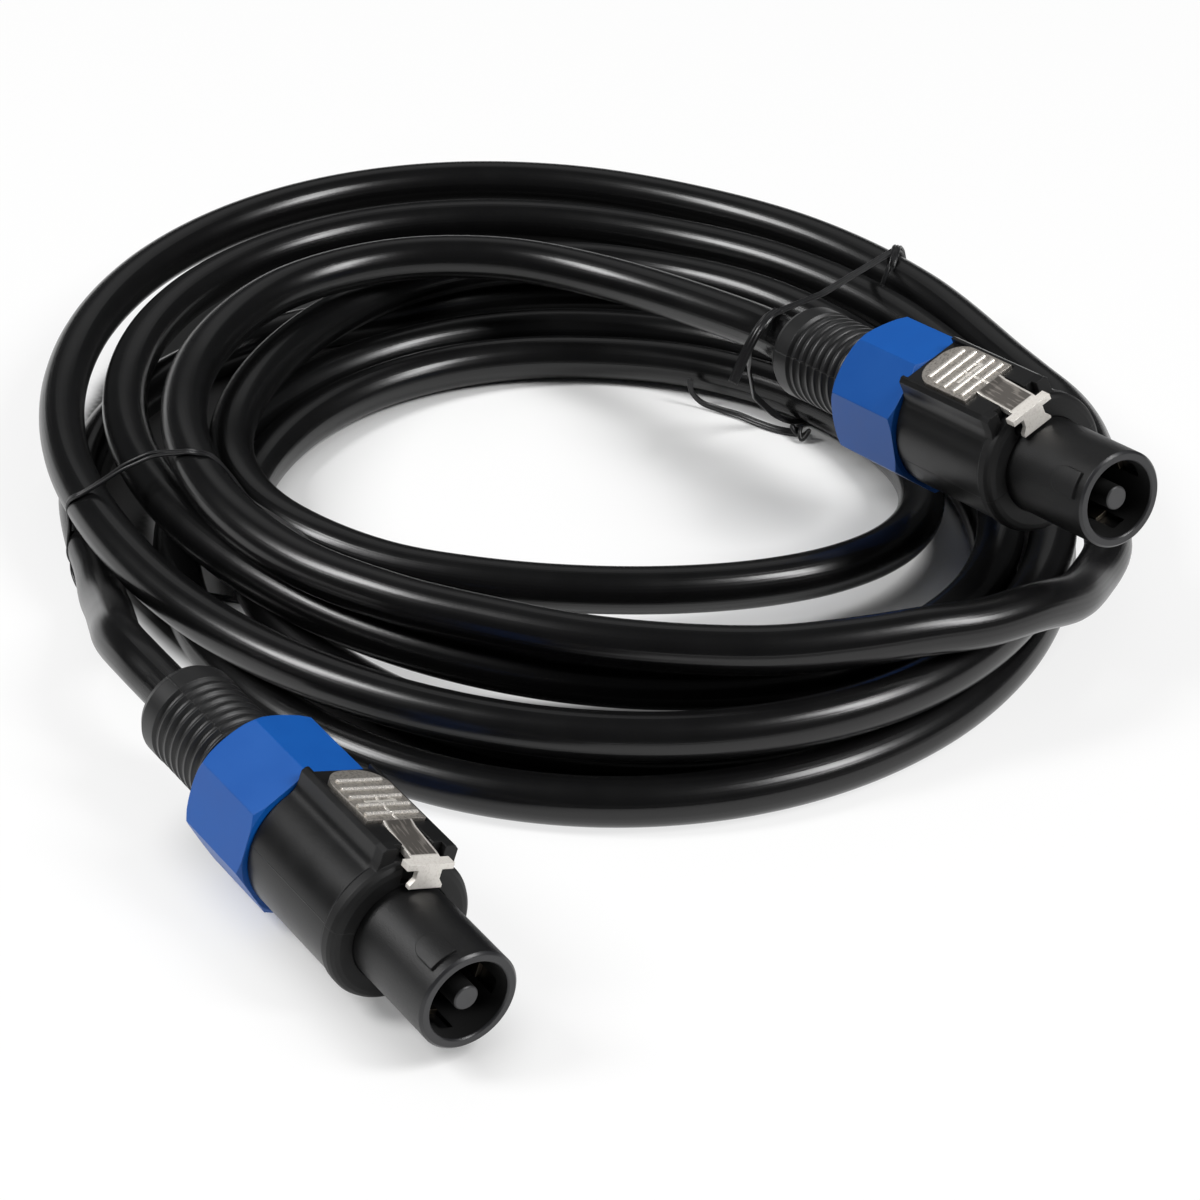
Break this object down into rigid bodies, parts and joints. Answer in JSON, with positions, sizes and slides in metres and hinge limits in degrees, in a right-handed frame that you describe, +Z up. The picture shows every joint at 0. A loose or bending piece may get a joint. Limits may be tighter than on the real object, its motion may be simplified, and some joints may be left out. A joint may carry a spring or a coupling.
{
  "type": "coiled loudspeaker cable with twist-lock connectors",
  "caption": "Black loudspeaker cable coiled flat and held with ties, with a twist-lock connector on each end: blue gland nut, ribbed boot and sliding metal latch.",
  "frame": {"origin": "centre of the bounding box, on the floor under the coil", "axes": "+X along both connectors, from boot to nose; +Z up"},
  "size_m": [0.3072, 0.2606, 0.0638],
  "materials": {
    "cable_jacket": "satin gloss",
    "tie_plastic": "satin",
    "conductor": "bare copper",
    "black_plastic": "fine satin texture",
    "core_plastic": "satin",
    "plated_brass": "plated",
    "steel": "plain",
    "latch_metal": "cast, satin",
    "pale_plastic": "plain",
    "blue_plastic": "satin gloss",
    "black_rubber": "satin"
  },
  "bodies": {
    "cable_root": {"cable_coil": "cable_jacket", "cable_lead_floor": "cable_jacket", "cable_lead_top": "cable_jacket", "tie_thin": "tie_plastic", "tie_flat": "tie_plastic", "cable_end_floor": "cable_jacket", "wires_floor": "conductor", "shell_floor": "black_plastic", "nose_floor": "black_plastic", "post_floor": "core_plastic", "contacts_floor": "plated_brass", "screws_floor": "steel", "latch_spring_floor": "steel", "chuck_floor": "pale_plastic", "cable_end_top": "cable_jacket", "wires_top": "conductor", "shell_top": "black_plastic", "nose_top": "black_plastic", "post_top": "core_plastic", "contacts_top": "plated_brass", "screws_top": "steel", "latch_spring_top": "steel", "chuck_top": "pale_plastic"},
    "latch_floor_body": {"latch_floor": "latch_metal"},
    "boot_floor_body": {"boot_floor": "black_rubber"},
    "nut_floor_body": {"nut_floor": "blue_plastic"},
    "latch_top_body": {"latch_top": "latch_metal"},
    "boot_top_body": {"boot_top": "black_rubber"},
    "nut_top_body": {"nut_top": "blue_plastic"}
  },
  "joints": [
    {"name": "latch_floor_slide", "type": "slide", "parent": "cable_root", "child": "latch_floor_body", "axis": [-0.9993, 0, 0.0384], "range_m": [0, 0.003], "stiffness_N_per_m": 400, "springref_m": -0.001, "deforming": ["latch_spring_floor"]},
    {"name": "boot_floor_slide", "type": "slide", "parent": "cable_root", "child": "boot_floor_body", "axis": [-0.9993, 0, 0.0384], "range_m": [0, 0.006]},
    {"name": "nut_floor_turn", "type": "hinge", "parent": "boot_floor_body", "child": "nut_floor_body", "pos_m": [0.08525, -0.1132, 0.01749], "axis": [-0.9993, 0, 0.0384], "range_deg": [0, 1080]},
    {"name": "latch_top_slide", "type": "slide", "parent": "cable_root", "child": "latch_top_body", "axis": [-0.9921, 0, -0.1253], "range_m": [0, 0.003], "stiffness_N_per_m": 400, "springref_m": -0.001, "deforming": ["latch_spring_top"]},
    {"name": "boot_top_slide", "type": "slide", "parent": "cable_root", "child": "boot_top_body", "axis": [-0.9921, 0, -0.1253], "range_m": [0, 0.006]},
    {"name": "nut_top_turn", "type": "hinge", "parent": "boot_top_body", "child": "nut_top_body", "pos_m": [0.05434, 0.0642, 0.03968], "axis": [-0.9921, 0, -0.1253], "range_deg": [0, 1080]}
  ],
  "couplings": [
    {"joint": "nut_floor_turn", "follows": "boot_floor_slide", "rad_per_m": 3141.6},
    {"joint": "nut_top_turn", "follows": "boot_top_slide", "rad_per_m": 3141.6}
  ]
}
